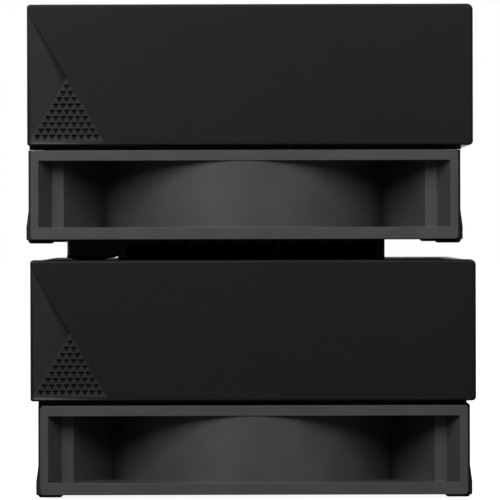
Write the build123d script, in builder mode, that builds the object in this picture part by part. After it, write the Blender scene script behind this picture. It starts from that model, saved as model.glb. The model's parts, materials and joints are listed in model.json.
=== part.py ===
from build123d import *

import os

# Two-bay network storage enclosure, built as two stacking modules.
#
# Each module is a low grey-fronted cooling base with a drive bay on top of it. The bay holds one
# flat 3.5 inch drive on a drawer, and the drawer's fascia is the plain black front. The upper
# module rests on the lower one through a narrow riser and lifts straight off.
#
# Millimetres. +Z up, the front faces -Y, and the origin is the bottom centre of the bounding box.
# Every piece is drawn where it sits in a module whose feet stand at z = 0, and is then moved to
# the lower or the upper module.

# ---- driving dimensions -------------------------------------------------------------------------

fascia_width = 120.0
fascia_height = 38.05
fascia_depth = 7.0
base_width = 116.5
base_height = 24.2
foot_height = 0.9
seam = 1.2  # shadow gap between base and fascia
module_pitch = 68.8  # from the feet of one module to the feet of the next
total_depth = 180.0

# How far each piece sits off centre: the modules and bays are set down by hand.
lower_bay_shift = 0.55
upper_bay_shift = -0.15
lower_base_shift = 0.75
upper_base_shift = -1.7

# The sunk corner of a fascia: an equilateral facet below, and a tall one beside it.
facet_side = 19.8
facet_margin = 0.55
facet_sill = 0.95
facet_drop = 2.6
facet_depth = 2.0

fascia_corner = 1.5
fascia_rounding = 0.5
pocket_height = 10.0  # of the pocket in the fascia's back
pocket_rise = 11.0  # above the fascia's middle

# ---- places worked out from them ----------------------------------------------------------------

front_y = -total_depth / 2
rear_y = total_depth / 2
base_front = front_y + 0.8
base_back = rear_y - 1.2
base_bottom = foot_height
base_top = base_bottom + base_height
fascia_bottom = base_top + seam
fascia_top = fascia_bottom + fascia_height
fascia_back = front_y + fascia_depth
fascia_mid = (fascia_bottom + fascia_top) / 2

# ---- base: shell and scoop ----------------------------------------------------------------------

shell_wall = 1.6
shell_inside = base_width / 2 - shell_wall
shell_floor = base_bottom + shell_wall
shell_flare = 0.6
flare_height = 8.0
flare_straight = 3.5
foot_width = 6.8
foot_length = 13.0
foot_spacing = 146.0
foot_gauge = 110.4  # from the middle of a left foot to the middle of a right one
foot_corner = 1.2
foot_rounding = 0.8
flange_depth = 3.4  # thickness of the scoop's front frame
flange_width = 115.1
flange_bottom = base_bottom + 0.2
opening_width = 111.0
opening_bottom = flange_bottom + 3.2
opening_top = base_top - 2.8
scoop_wall = 1.6

# Plan of the recess, as distances from the centre line and back from the front of the frame.
step_half = 52.0
step_depth = 7.0
ledge_half = 48.9
ledge_depth = 7.4
valley_half = 38.0
bulge_radius = 40.5
bulge_setback = 0.8
bulge_centre = base_front + bulge_setback + bulge_radius
valley_depth = bulge_setback + bulge_radius - (bulge_radius**2 - valley_half**2) ** 0.5

board_post_radius = 3.0
post_inset = 8.0  # how much narrower the board's posts stand than the board itself
blower_post_circle = 33.0
blower_post_radius = 2.5
pad_radius = 4.0
pad_gauge = 102.0
pad_spacing = 140.0

deck_thickness = 1.6
deck_bottom = base_top - deck_thickness

# ---- drive bay ----------------------------------------------------------------------------------

sleeve_wall = 2.0
lid_rounding = 1.5
sleeve_half = 59.6
sleeve_bottom = fascia_bottom + 0.2
sleeve_top = fascia_top - 0.2
sleeve_front = fascia_back + 0.4
sleeve_back = rear_y - 3.6
sleeve_floor_top = sleeve_bottom + sleeve_wall
sleeve_inside = sleeve_half - sleeve_wall
sleeve_length = sleeve_back - sleeve_front
grille_thickness = 2.0
rail_outside = 57.4
rail_wall = 2.4
rail_width = 4.2
rail_height = 4.2
rail_lip = 1.7
rail_length = 150.0
rail_inset = 4.0

tray_half = 54.7
tray_floor = 1.6
tray_bottom = sleeve_floor_top + 0.3
tray_top = tray_bottom + tray_floor
tray_wall_top = 50.0
tray_wall_inside = 51.3
tray_wall = 1.6
tray_back = 70.0

drive_width = 101.6
drive_length = 147.0
drive_height = 26.1
drive_front = -79.0
drive_back = drive_front + drive_length
drive_mid = (drive_front + drive_back) / 2
drive_top = tray_top + drive_height
drive_screw_rows = (drive_front + 28.5, drive_front + 130.1)
drive_screw_z = tray_top + 6.35
backplane_back = 76.1
backplane_top = 61.0
backplane_x = 8.0
backplane_width = 76.0
socket_x = 18.0  # the drive's edge connector and the receptacle that meets it
socket_width = 44.0
socket_height = 6.0
socket_middle = tray_top + 3.4
socket_gap = 0.3
socket_slot = 11.0

# ---- blower -------------------------------------------------------------------------------------

blower_bottom = shell_floor + 1.0
blower_height = 15.0
blower_radius = 37.0
blower_wall = 1.4
blower_floor_top = blower_bottom + blower_wall
blower_cover = 1.2
blower_outlet_left = 8.0
inlet_radius = 21.0
rotor_bottom = blower_floor_top + 1.0
rotor_radius = 30.0
rotor_blades = 29
spindle_radius = 1.5

# ---- screws: one kind of countersunk M3 screw for the grille and for the deck --------------------

screw_radius = 1.5
screw_head_radius = 2.75
screw_head_height = 1.5
screw_length = 8.0
screw_clearance = 0.1
grille_screw_half = 52.5
grille_post_width = 8.0
grille_post_depth = 7.0
grille_height = sleeve_top - sleeve_wall - 0.1 - sleeve_floor_top
grille_mid = sleeve_floor_top + grille_height / 2
deck_screw_half = 53.0
deck_screw_rows = (-52.0, 60.0)
deck_post_radius = 2.8

# ---- electronics --------------------------------------------------------------------------------

board_width = 96.0
board_length = 88.0
board_mid = 40.0
board_bottom = shell_floor + 4.0
board_thickness = 1.6
board_top = board_bottom + board_thickness
chip_x = -8.0
chip_y = 28.0
chip_height = 1.4
sink_width = 32.0
sink_base = 2.0
fin_pitch = 3.4
fin_height = 6.0
panel_front = base_back - 1.8
panel_back = base_back - 0.6
lan_x = -30.0
usb_places = (-8.0, 8.0)
power_x = 28.0
button_x = 46.0
lan_middle = board_top + 6.6
usb_middle = board_top + 3.3
power_middle = board_top + 5.5
button_middle = board_top + 5.0
guide_gap = 3.0  # from the rear panel to the switch body
port_face = panel_front  # port bodies end on the inside of the rear panel

# ---- latch --------------------------------------------------------------------------------------

latch_x = -38.0
latch_z = sleeve_floor_top + 4.0
latch_front = 74.2
latch_back = 83.0
latch_head_front = 70.4

# ---- riser between the modules, in the upper module's own frame ---------------------------------

riser_bottom = sleeve_top - module_pitch
riser_left = -36.3
riser_right = 36.5
riser_front = -66.0
riser_back = 44.0
riser_wall = 2.4
riser_ceiling = 0.8
lead_radius = 0.7
lead_left = -16.6
lead_right = 7.4
link_y = riser_back + 8.0
lug_left = -50.2
lug_length = 22.0
bumper_height = 1.4

made = {}


# ---- screws -------------------------------------------------------------------------------------


def screw_outline(grow):
    """Half section of a countersunk screw, head up at the origin, grown all round for its hole."""
    shaft = screw_radius + grow
    head = screw_head_radius + grow
    with BuildSketch(Plane.XZ) as half:
        with BuildLine():
            Polyline(
                (0, 0),
                (head, 0),
                (shaft, -screw_head_height),
                (shaft, -screw_length),
                (0, -screw_length),
                close=True,
            )
        make_face()
    return half.sketch


def screw(grow=0.0):
    """One countersunk screw, or with some growth the hole that it needs."""
    section = screw_outline(grow)
    with BuildPart() as body:
        add(section)
        revolve(axis=Axis.Z)
        if grow == 0.0:
            with BuildSketch(Plane.XY):
                Rectangle(3.2, 0.7)
                Rectangle(0.7, 3.2)
            extrude(amount=-0.8, mode=Mode.SUBTRACT)
    return body.part


def deck_screw_places():
    """Plan positions of the four deck screws."""
    return [(side * deck_screw_half, y) for side in (-1, 1) for y in deck_screw_rows]


def grille_screw_places():
    """Rear-facing locations of the two grille screws."""
    face = Plane(origin=(0, sleeve_back, grille_mid), x_dir=(-1, 0, 0), z_dir=(0, 1, 0))
    return [face.location * Location((side * grille_screw_half, 0, 0)) for side in (-1, 1)]


def case_screws(deck_shift):
    """The grille's two screws, and the deck's four, which are set over by the base's own shift."""
    plain = screw()
    deck_places = [Location((x + deck_shift, y, base_top)) for x, y in deck_screw_places()]
    with BuildPart() as screws:
        with Locations(*deck_places, *grille_screw_places()):
            add(plain)
    return screws.part


# ---- base ---------------------------------------------------------------------------------------


def base_shell():
    """Open-topped tray with flared lower edges, board posts and blower posts."""
    half = base_width / 2
    with BuildPart() as shell:
        with BuildSketch(Plane.XZ.offset(-base_back)) as profile:
            with BuildLine():
                Polyline(
                    (-half - shell_flare, base_bottom),
                    (half + shell_flare, base_bottom),
                    (half + shell_flare, base_bottom + flare_straight),
                    (half, base_bottom + flare_height),
                    (half, base_top),
                    (shell_inside, base_top),
                    (shell_inside, shell_floor),
                    (-shell_inside, shell_floor),
                    (-shell_inside, base_top),
                    (-half, base_top),
                    (-half, base_bottom + flare_height),
                    (-half - shell_flare, base_bottom + flare_straight),
                    close=True,
                )
            make_face()
            lowest = profile.vertices().group_by(Axis.Y)[0]
            fillet(lowest, 0.4)
        extrude(amount=base_back - base_front - flange_depth)
        # Posts for the board, for the blower and for the deck.
        with BuildSketch(Plane.XY.offset(shell_floor)):
            with Locations((0, board_mid)):
                with GridLocations(board_width - post_inset, board_length - post_inset, 2, 2):
                    Circle(board_post_radius)
        extrude(amount=board_bottom - shell_floor)
        with BuildSketch(Plane.XY.offset(shell_floor)):
            with Locations((0, bulge_centre)):
                with PolarLocations(blower_post_circle, 3, start_angle=90):
                    Circle(blower_post_radius)
        extrude(amount=blower_bottom - shell_floor)
        with BuildSketch(Plane.XY.offset(shell_floor)):
            with Locations(*deck_screw_places()):
                Circle(deck_post_radius)
                Circle(screw_radius + screw_clearance, mode=Mode.SUBTRACT)
        extrude(amount=deck_bottom - shell_floor)
        # Intake slots in the floor, under the board.
        with BuildSketch(Plane.XY.offset(shell_floor)):
            with Locations((0, board_mid)):
                with GridLocations(7.0, 0, 10, 1):
                    SlotOverall(34.0, 2.4, rotation=90)
        extrude(amount=-shell_wall, mode=Mode.SUBTRACT)
    return shell.part


def recess_outline():
    """Closed plan of the finger recess: straight cheeks, and a round wall between them."""
    half = opening_width / 2
    with BuildSketch() as plan:
        with BuildLine():
            right = Polyline(
                (half, base_front),
                (step_half, base_front + step_depth),
                (ledge_half, base_front + ledge_depth),
                (valley_half, base_front + valley_depth),
            )
            ThreePointArc(
                right @ 1,
                (0, base_front + bulge_setback),
                (-valley_half, base_front + valley_depth),
            )
            Polyline(
                (-valley_half, base_front + valley_depth),
                (-ledge_half, base_front + ledge_depth),
                (-step_half, base_front + step_depth),
                (-half, base_front),
            )
            Line((-half, base_front), (half, base_front))
        make_face()
    return plan.sketch


def scoop():
    """Grey front frame with the walls of the recess behind it, all one moulding."""
    plan = recess_outline()
    with BuildPart() as body:
        with BuildSketch(Plane.XZ.offset(-base_front - flange_depth)) as frame:
            with Locations((0, (flange_bottom + base_top) / 2)):
                RectangleRounded(flange_width, base_top - flange_bottom, 0.9)
        extrude(amount=flange_depth)
        chamfer(body.faces().sort_by(Axis.Y)[0].edges(), 0.5)
        with BuildSketch(Plane.XY.offset(opening_bottom - scoop_wall)) as around:
            add(plan)
            offset(amount=scoop_wall)
            with Locations((0, base_front)):
                Rectangle(130, 2 * flange_depth - 0.2, mode=Mode.SUBTRACT)
        extrude(amount=base_top - opening_bottom + scoop_wall)
        with BuildSketch(Plane.XY.offset(opening_bottom)):
            add(plan)
        extrude(amount=opening_top - opening_bottom, mode=Mode.SUBTRACT)
    return body.part


def deck():
    """Top plate of the base, cut round the scoop, with a grille over the blower inlet."""
    plan = recess_outline()
    screw_hole = screw(grow=screw_clearance)
    length = panel_front - 0.3 - (base_front + flange_depth + 0.2)
    with BuildPart() as plate:
        with BuildSketch(Plane.XY.offset(deck_bottom)):
            with Locations((0, panel_front - 0.3 - length / 2)):
                Rectangle(2 * shell_inside - 0.4, length)
        extrude(amount=deck_thickness)
        with BuildSketch(Plane.XY.offset(deck_bottom)):
            add(plan)
            offset(amount=scoop_wall + 0.2)
        extrude(amount=deck_thickness, mode=Mode.SUBTRACT)
        with BuildSketch(Plane.XY.offset(deck_bottom)):
            with Locations((0, bulge_centre)):
                with GridLocations(5.0, 0, 9, 1):
                    SlotOverall(38.0, 2.6, rotation=90)
            with Locations((0, board_mid)):
                with GridLocations(6.0, 0, 13, 1):
                    SlotOverall(30.0, 2.4, rotation=90)
        extrude(amount=deck_thickness, mode=Mode.SUBTRACT)
        with Locations(*[(x, y, base_top) for x, y in deck_screw_places()]):
            add(screw_hole, mode=Mode.SUBTRACT)
    return plate.part


def feet():
    """Four soft pads flush with the sides, rounded at the bottom edge."""
    with BuildPart() as pads:
        with BuildSketch(Plane.XY):
            with GridLocations(foot_gauge, foot_spacing, 2, 2):
                RectangleRounded(foot_width, foot_length, foot_corner)
        extrude(amount=foot_height)
        fillet(pads.faces().group_by(Axis.Z)[0].edges(), foot_rounding)
    return pads.part


def isolation_pads():
    """Four soft discs that carry the bay on the base."""
    with BuildPart() as pads:
        with BuildSketch(Plane.XY.offset(base_top)):
            with GridLocations(pad_gauge, pad_spacing, 2, 2):
                Circle(pad_radius)
        extrude(amount=sleeve_bottom - base_top)
    return pads.part


# ---- blower -------------------------------------------------------------------------------------


def blower_outline(inset):
    """Scroll plan of the blower: a round chamber with a straight outlet to the rear."""
    radius = blower_radius - inset
    left = blower_outlet_left + inset
    length = blower_radius + 1.5
    with BuildSketch() as plan:
        with Locations((0, bulge_centre)):
            Circle(radius)
        with Locations(((left + radius) / 2, bulge_centre + length / 2)):
            Rectangle(radius - left, length)
    return plan.sketch


def blower_housing():
    """Floor, scroll wall and spindle of the radial blower."""
    outside = blower_outline(0)
    inside = blower_outline(blower_wall)
    with BuildPart() as body:
        with BuildSketch(Plane.XY.offset(blower_bottom)):
            add(outside)
        extrude(amount=blower_height - blower_cover)
        with BuildSketch(Plane.XY.offset(blower_floor_top)):
            add(inside)
        extrude(amount=blower_height, mode=Mode.SUBTRACT)
        with BuildSketch(Plane.XY.offset(blower_floor_top)):
            with Locations((0, bulge_centre)):
                Circle(spindle_radius)
        extrude(amount=7.0)
    return body.part


def blower_cover_plate():
    """Lid of the blower with its round inlet."""
    outside = blower_outline(0)
    with BuildPart() as plate:
        with BuildSketch(Plane.XY.offset(blower_bottom + blower_height - blower_cover)):
            add(outside)
            with Locations((0, bulge_centre)):
                Circle(inlet_radius, mode=Mode.SUBTRACT)
        extrude(amount=blower_cover)
    return plate.part


def blower_rotor():
    """Impeller: a disc with a cupped hub, a ring of blades and a rim that ties their tips."""
    blade_height = 9.0
    with BuildPart() as wheel:
        with BuildSketch(Plane.XY.offset(rotor_bottom)):
            with Locations((0, bulge_centre)):
                Circle(rotor_radius)
        extrude(amount=1.0)
        with BuildSketch(Plane.XY.offset(rotor_bottom + 1.0)):
            with Locations((0, bulge_centre)):
                Circle(13.0)
        extrude(amount=blade_height)
        with BuildSketch(Plane.XY.offset(rotor_bottom + 1.0)):
            with Locations((0, bulge_centre)):
                with PolarLocations(25.5, rotor_blades):
                    Rectangle(8.2, 0.9, rotation=28)
        extrude(amount=blade_height)
        with BuildSketch(Plane.XY.offset(rotor_bottom + blade_height)):
            with Locations((0, bulge_centre)):
                Circle(rotor_radius)
                Circle(rotor_radius - 1.2, mode=Mode.SUBTRACT)
        extrude(amount=1.0)
        with Locations((0, bulge_centre, rotor_bottom)):
            Cylinder(
                spindle_radius + 0.06,
                8.0,
                align=(Align.CENTER, Align.CENTER, Align.MIN),
                mode=Mode.SUBTRACT,
            )
    return wheel.part


# ---- drive bay ----------------------------------------------------------------------------------


def sleeve_lid():
    """Top and both sides of the bay, folded from one sheet."""
    with BuildPart() as cover:
        with BuildSketch(Plane.XZ.offset(-sleeve_back)) as profile:
            with Locations((0, (sleeve_bottom + sleeve_top) / 2)):
                Rectangle(2 * sleeve_half, sleeve_top - sleeve_bottom)
            fillet(profile.vertices().group_by(Axis.Y)[-1], lid_rounding)
            inner = sleeve_top - sleeve_wall - sleeve_bottom
            with Locations((0, sleeve_bottom + inner / 2)):
                Rectangle(2 * sleeve_inside, inner, mode=Mode.SUBTRACT)
        extrude(amount=sleeve_length)
        # Side louvres, low down behind the drive's flanks.
        with BuildSketch(Plane.YZ.offset(-sleeve_half - 1)):
            with Locations((38, fascia_mid - 4)):
                with GridLocations(6.0, 0, 10, 1):
                    SlotOverall(17.0, 2.4, rotation=90)
        extrude(amount=2 * sleeve_half + 2, mode=Mode.SUBTRACT)
    return cover.part


def sleeve_floor():
    """Bottom plate of the bay with the two lipped rails that the tray's edges run in."""
    middle = (sleeve_front + sleeve_back) / 2
    screw_hole = screw(grow=screw_clearance)
    rail_middle = sleeve_front + rail_inset + rail_length / 2
    with BuildPart() as plate:
        with BuildSketch(Plane.XY.offset(sleeve_bottom)):
            with Locations((0, middle)):
                Rectangle(2 * sleeve_inside - 0.2, sleeve_length)
        extrude(amount=sleeve_wall)
        for side in (-1, 1):
            with BuildSketch(Plane.XY.offset(sleeve_floor_top)):
                with Locations((side * (rail_outside - rail_wall / 2), rail_middle)):
                    Rectangle(rail_wall, rail_length)
            extrude(amount=rail_height)
            with BuildSketch(Plane.XY.offset(sleeve_floor_top + rail_height - rail_lip)):
                with Locations((side * (rail_outside - rail_width / 2), rail_middle)):
                    Rectangle(rail_width, rail_length)
            extrude(amount=rail_lip)
        with BuildSketch(Plane.XY.offset(sleeve_bottom)):
            with Locations((0, bulge_centre), (0, board_mid)):
                with GridLocations(7.0, 0, 9, 1):
                    SlotOverall(30.0, 2.6, rotation=90)
        extrude(amount=sleeve_wall, mode=Mode.SUBTRACT)
        # Two posts at the back for the grille's screws.
        with BuildSketch(Plane.XY.offset(sleeve_floor_top)):
            with Locations((0, sleeve_back - grille_thickness - grille_post_depth / 2)):
                with GridLocations(2 * grille_screw_half, 0, 2, 1):
                    Rectangle(grille_post_width, grille_post_depth)
        extrude(amount=grille_mid + grille_post_width / 2 - sleeve_floor_top)
        with Locations(*grille_screw_places()):
            add(screw_hole, mode=Mode.SUBTRACT)
    return plate.part


def rear_grille():
    """Slotted plate that closes the back of the bay."""
    screw_hole = screw(grow=screw_clearance)
    with BuildPart() as plate:
        with BuildSketch(Plane.XZ.offset(-sleeve_back)):
            with Locations((0, grille_mid)):
                Rectangle(2 * sleeve_inside - 0.2, grille_height)
                with GridLocations(5.0, 0, 19, 1):
                    SlotOverall(22.0, 2.6, rotation=90, mode=Mode.SUBTRACT)
        extrude(amount=grille_thickness)
        with Locations(*grille_screw_places()):
            add(screw_hole, mode=Mode.SUBTRACT)
    return plate.part


def backplane():
    """Upright board behind the drive."""
    with BuildPart() as board:
        with BuildSketch(Plane.XZ.offset(-backplane_back)):
            with Locations((backplane_x, (sleeve_floor_top + backplane_top) / 2)):
                Rectangle(backplane_width, backplane_top - sleeve_floor_top)
            with Locations((backplane_x, backplane_top - 11.0)):
                Rectangle(backplane_width - 20.0, 12.0, mode=Mode.SUBTRACT)
        extrude(amount=board_thickness)
    return board.part


def sata_receptacle():
    """Signal and power socket that the drive's edge connector meets."""
    board_face = backplane_back - board_thickness
    with BuildPart() as body:
        with BuildSketch(Plane.XZ.offset(-board_face)):
            with Locations((socket_x, socket_middle)):
                Rectangle(socket_width, socket_height)
        extrude(amount=board_face - drive_back - socket_gap)
        with BuildSketch(Plane.XZ.offset(-drive_back - socket_gap)):
            with Locations((socket_x - 7.0, socket_middle), (socket_x + 10.0, socket_middle)):
                Rectangle(socket_slot, 2.0)
        extrude(amount=-4.0, mode=Mode.SUBTRACT)
    return body.part


# ---- drawer -------------------------------------------------------------------------------------


def corner_facets():
    """Two tetrahedra that sink the lower left corner of the fascia to one low point."""
    left = -fascia_width / 2 + facet_margin
    low = fascia_bottom + facet_sill
    top_corner = (left, fascia_top - facet_drop)
    low_corner = (left, low)
    right_corner = (left + facet_side, low)
    peak = (left + facet_side / 2, low + facet_side * 3**0.5 / 2)
    sunk = Vertex(peak[0], front_y + facet_depth, peak[1])
    with BuildSketch(Plane.XZ.offset(-front_y)) as side_face:
        Polygon(top_corner, low_corner, peak, align=None)
    with BuildSketch(Plane.XZ.offset(-front_y)) as foot_face:
        Polygon(low_corner, right_corner, peak, align=None)
    return [loft([face.sketch.face(), sunk]) for face in (side_face, foot_face)]


def fascia():
    """Plain drawer front with a sunk, faceted corner and a pocket behind."""
    with BuildPart() as front:
        with BuildSketch(Plane.XZ.offset(-fascia_back)):
            with Locations((0, fascia_mid)):
                RectangleRounded(fascia_width, fascia_height, fascia_corner)
        extrude(amount=fascia_depth)
        fillet(front.faces().sort_by(Axis.Y)[0].edges(), fascia_rounding)
        with BuildSketch(Plane.XZ.offset(-fascia_back)):
            with Locations((0, fascia_mid + pocket_rise)):
                RectangleRounded(fascia_width - 6.0, pocket_height, 1.0)
        extrude(amount=fascia_depth / 2, mode=Mode.SUBTRACT)
        for wedge in corner_facets():
            add(wedge, mode=Mode.SUBTRACT)
    return front.part


def tray():
    """Drive carrier: floor with runners, two side walls, a front wall and a tab for the latch."""
    wall_mid = tray_wall_inside + tray_wall / 2
    length = tray_back - fascia_back
    middle = (tray_back + fascia_back) / 2
    with BuildPart() as carrier:
        with BuildSketch(Plane.XY.offset(tray_bottom)):
            with Locations((0, middle)):
                Rectangle(2 * tray_half, length)
            with Locations((0, middle)):
                with GridLocations(30.0, 52.0, 3, 2):
                    RectangleRounded(22.0, 40.0, 3.0, mode=Mode.SUBTRACT)
        extrude(amount=tray_floor)
        with BuildSketch(Plane.XY.offset(tray_top)):
            with Locations((-wall_mid, middle), (wall_mid, middle)):
                Rectangle(tray_wall, length)
            with Locations((0, fascia_back + tray_wall / 2)):
                Rectangle(2 * tray_wall_inside, tray_wall)
        extrude(amount=tray_wall_top - tray_top)
        with BuildSketch(Plane.XY.offset(tray_top)):
            with Locations((latch_x, tray_back - 0.8)):
                Rectangle(7.6, 1.6)
        extrude(amount=6.5)
        # Oval windows in the side walls for air and for the drive's screws.
        with BuildSketch(Plane.YZ.offset(-tray_half)):
            with Locations((drive_mid, 44.0)):
                with GridLocations(30.0, 0, 4, 1):
                    SlotOverall(20.0, 5.0)
        extrude(amount=2 * tray_half, mode=Mode.SUBTRACT)
        with BuildSketch(Plane.YZ.offset(-tray_half)):
            with Locations(*[(y, drive_screw_z) for y in drive_screw_rows]):
                Circle(1.8)
        extrude(amount=2 * tray_half, mode=Mode.SUBTRACT)
    return carrier.part


def drive_places():
    """The four side screw places of a 3.5 inch drive: side, y and z."""
    return [(side, y, drive_screw_z) for side in (-1, 1) for y in drive_screw_rows]


def drive_casting():
    """Drive body with a board pocket under it, a stepped rim and its side screw holes."""
    with BuildPart() as body:
        with BuildSketch(Plane.XY.offset(tray_top)):
            with Locations((0, drive_mid)):
                RectangleRounded(drive_width, drive_length, 2.0)
        extrude(amount=drive_height - 1.0)
        with BuildSketch(Plane.XY.offset(tray_top)):
            with Locations((0, drive_back - 33.0)):
                Rectangle(90.0, 66.1)
        extrude(amount=3.4, mode=Mode.SUBTRACT)
        for side, y, z in drive_places():
            with BuildSketch(Plane.YZ.offset(side * drive_width / 2)):
                with Locations((y, z)):
                    Circle(1.55)
            extrude(amount=-side * 4.0, mode=Mode.SUBTRACT)
    return body.part


def drive_cover():
    """Stamped top cover of the drive with its round disc bulge."""
    with BuildPart() as lid:
        with BuildSketch(Plane.XY.offset(drive_top - 1.0)):
            with Locations((0, drive_mid)):
                RectangleRounded(drive_width - 3.0, drive_length - 3.0, 4.0)
        extrude(amount=0.6)
        with BuildSketch(Plane.XY.offset(drive_top - 0.4)):
            with Locations((0, drive_mid + 18.0)):
                Circle(46.0)
            with Locations((12.0, drive_mid - 41.0)):
                RectangleRounded(60.0, 34.0, 6.0)
        extrude(amount=0.4)
    return lid.part


def drive_board():
    """Circuit board in the pocket under the drive, with its edge connector and two chips."""
    with BuildPart() as board:
        with BuildSketch(Plane.XY.offset(tray_top + 1.6)):
            with Locations((0, drive_back - 32.5)):
                Rectangle(88.0, 62.0)
        extrude(amount=1.6)
        with BuildSketch(Plane.XY.offset(tray_top + 0.4)):
            with Locations((socket_x, drive_back - 3.5)):
                Rectangle(socket_width, socket_height)
            with Locations((-10.0, drive_back - 36.0)):
                Rectangle(14.0, 14.0)
            with Locations((16.0, drive_back - 42.0)):
                Rectangle(8.0, 12.0)
        extrude(amount=1.2)
    return board.part


def drive_screws():
    """Four screws through the tray walls into the drive's sides."""
    outside = tray_wall_inside + tray_wall
    with BuildPart() as screws:
        for side, y, z in drive_places():
            with BuildSketch(Plane.YZ.offset(side * (drive_width / 2 - 3.6))):
                with Locations((y, z)):
                    Circle(1.45)
            extrude(amount=side * (outside - drive_width / 2 + 3.6))
            with BuildSketch(Plane.YZ.offset(side * outside)):
                with Locations((y, z)):
                    Circle(2.8)
            extrude(amount=side * 1.6)
    return screws.part


# ---- latch --------------------------------------------------------------------------------------


def latch_body():
    """Block of the touch latch, with a bore for its plunger."""
    length = latch_back - latch_front
    with BuildPart() as block:
        with BuildSketch(Plane.XZ.offset(-latch_back)):
            with Locations((latch_x, latch_z)):
                Rectangle(8.0, 8.0)
                Circle(2.0, mode=Mode.SUBTRACT)
        extrude(amount=length)
        chamfer(block.edges().filter_by(Axis.Y).group_by(Axis.Z)[-1], 1.0)
    return block.part


def latch_plunger():
    """Sprung pin of the touch latch, with a domed head that the drawer's tab meets."""
    with BuildPart() as pin:
        with BuildSketch(Plane.XZ.offset(-latch_front + 2.2)):
            with Locations((latch_x, latch_z)):
                Circle(1.94)
        extrude(amount=-8.2)
        with BuildSketch(Plane.XZ.offset(-latch_front + 2.2)):
            with Locations((latch_x, latch_z)):
                Circle(2.7)
        extrude(amount=latch_front - 2.2 - latch_head_front)
        fillet(pin.edges().group_by(Axis.Y)[0], 0.6)
    return pin.part


# ---- electronics in the bases -------------------------------------------------------------------


def main_board():
    """Main circuit board with its processor, memory chips and capacitors."""
    with BuildPart() as board:
        with BuildSketch(Plane.XY.offset(board_bottom)):
            with Locations((0, board_mid)):
                Rectangle(board_width, board_length)
        extrude(amount=board_thickness)
        with BuildSketch(Plane.XY.offset(board_top)):
            with Locations((chip_x, chip_y)):
                Rectangle(22.0, 22.0)
            with Locations((22.0, chip_y)):
                with GridLocations(12.0, 0, 2, 1):
                    Rectangle(9.0, 13.0)
        extrude(amount=chip_height)
        with BuildSketch(Plane.XY.offset(board_top)):
            with Locations((38.0, 58.0)):
                with GridLocations(9.0, 9.0, 2, 2):
                    Circle(3.1)
        extrude(amount=8.0)
    return board.part


def heat_sink():
    """Finned block on the processor."""
    base = board_top + chip_height
    with BuildPart() as fins:
        with BuildSketch(Plane.XY.offset(base)):
            with Locations((chip_x, chip_y)):
                Rectangle(sink_width, sink_width)
        extrude(amount=sink_base)
        with BuildSketch(Plane.XY.offset(base + sink_base)):
            with Locations((chip_x, chip_y)):
                with GridLocations(fin_pitch, 0, 10, 1):
                    Rectangle(1.2, sink_width)
        extrude(amount=fin_height)
    return fins.part


def lan_jack():
    """Network socket: a shell open to the rear, with the stepped mouth of its plug."""
    with BuildPart() as jack:
        with BuildSketch(Plane.XZ.offset(-port_face)):
            with Locations((lan_x, lan_middle)):
                Rectangle(16.0, 13.2)
        extrude(amount=21.0)
        with BuildSketch(Plane.XZ.offset(-port_face)):
            with Locations((lan_x, lan_middle)):
                Rectangle(11.9, 8.0)
            with Locations((lan_x, lan_middle - 4.6)):
                Rectangle(6.2, 1.6)
        extrude(amount=13.0, mode=Mode.SUBTRACT)
    return jack.part


def usb_ports():
    """Two flat serial sockets, each a metal shell round a tongue."""
    with BuildPart() as ports:
        with BuildSketch(Plane.XZ.offset(-port_face)):
            for x in usb_places:
                with Locations((x, usb_middle)):
                    Rectangle(13.2, 6.6)
        extrude(amount=14.0)
        with BuildSketch(Plane.XZ.offset(-port_face)):
            for x in usb_places:
                with Locations((x, usb_middle)):
                    Rectangle(12.2, 5.0)
        extrude(amount=12.0, mode=Mode.SUBTRACT)
        with BuildSketch(Plane.XZ.offset(-port_face + 12.0)):
            for x in usb_places:
                with Locations((x, usb_middle + 1.1)):
                    Rectangle(11.0, 1.8)
        extrude(amount=-10.5)
    return ports.part


def power_jack():
    """Barrel power socket with its centre pin."""
    with BuildPart() as jack:
        with BuildSketch(Plane.XZ.offset(-port_face)):
            with Locations((power_x, power_middle)):
                Rectangle(9.0, 11.0)
                Circle(3.1, mode=Mode.SUBTRACT)
        extrude(amount=10.0)
        with BuildSketch(Plane.XZ.offset(-port_face + 10.0)):
            with Locations((power_x, power_middle)):
                Rectangle(9.0, 11.0)
        extrude(amount=3.0)
        with BuildSketch(Plane.XZ.offset(-port_face + 10.0)):
            with Locations((power_x, power_middle)):
                Circle(1.0)
        extrude(amount=-8.5)
    return jack.part


def button_guide():
    """Switch body behind the power button, with a square well for the button's stem."""
    with BuildPart() as guide:
        with BuildSketch(Plane.XZ.offset(-port_face + guide_gap)):
            with Locations((button_x, button_middle)):
                Rectangle(10.0, 10.0)
        extrude(amount=8.0)
        with BuildSketch(Plane.XZ.offset(-port_face + guide_gap)):
            with Locations((button_x, button_middle)):
                Rectangle(3.4, 3.4)
        extrude(amount=6.0, mode=Mode.SUBTRACT)
    return guide.part


def power_button():
    """Round button that stands a little proud of the rear panel, on a square stem."""
    with BuildPart() as button:
        with BuildSketch(Plane.XZ.offset(-rear_y)):
            with Locations((button_x, button_middle)):
                Circle(3.9)
        extrude(amount=rear_y - port_face + 1.2)
        fillet(button.edges().group_by(Axis.Y)[-1], 0.6)
        with BuildSketch(Plane.XZ.offset(-port_face + 1.2)):
            with Locations((button_x, button_middle)):
                Rectangle(3.0, 3.0)
        extrude(amount=5.0)
    return button.part


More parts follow.
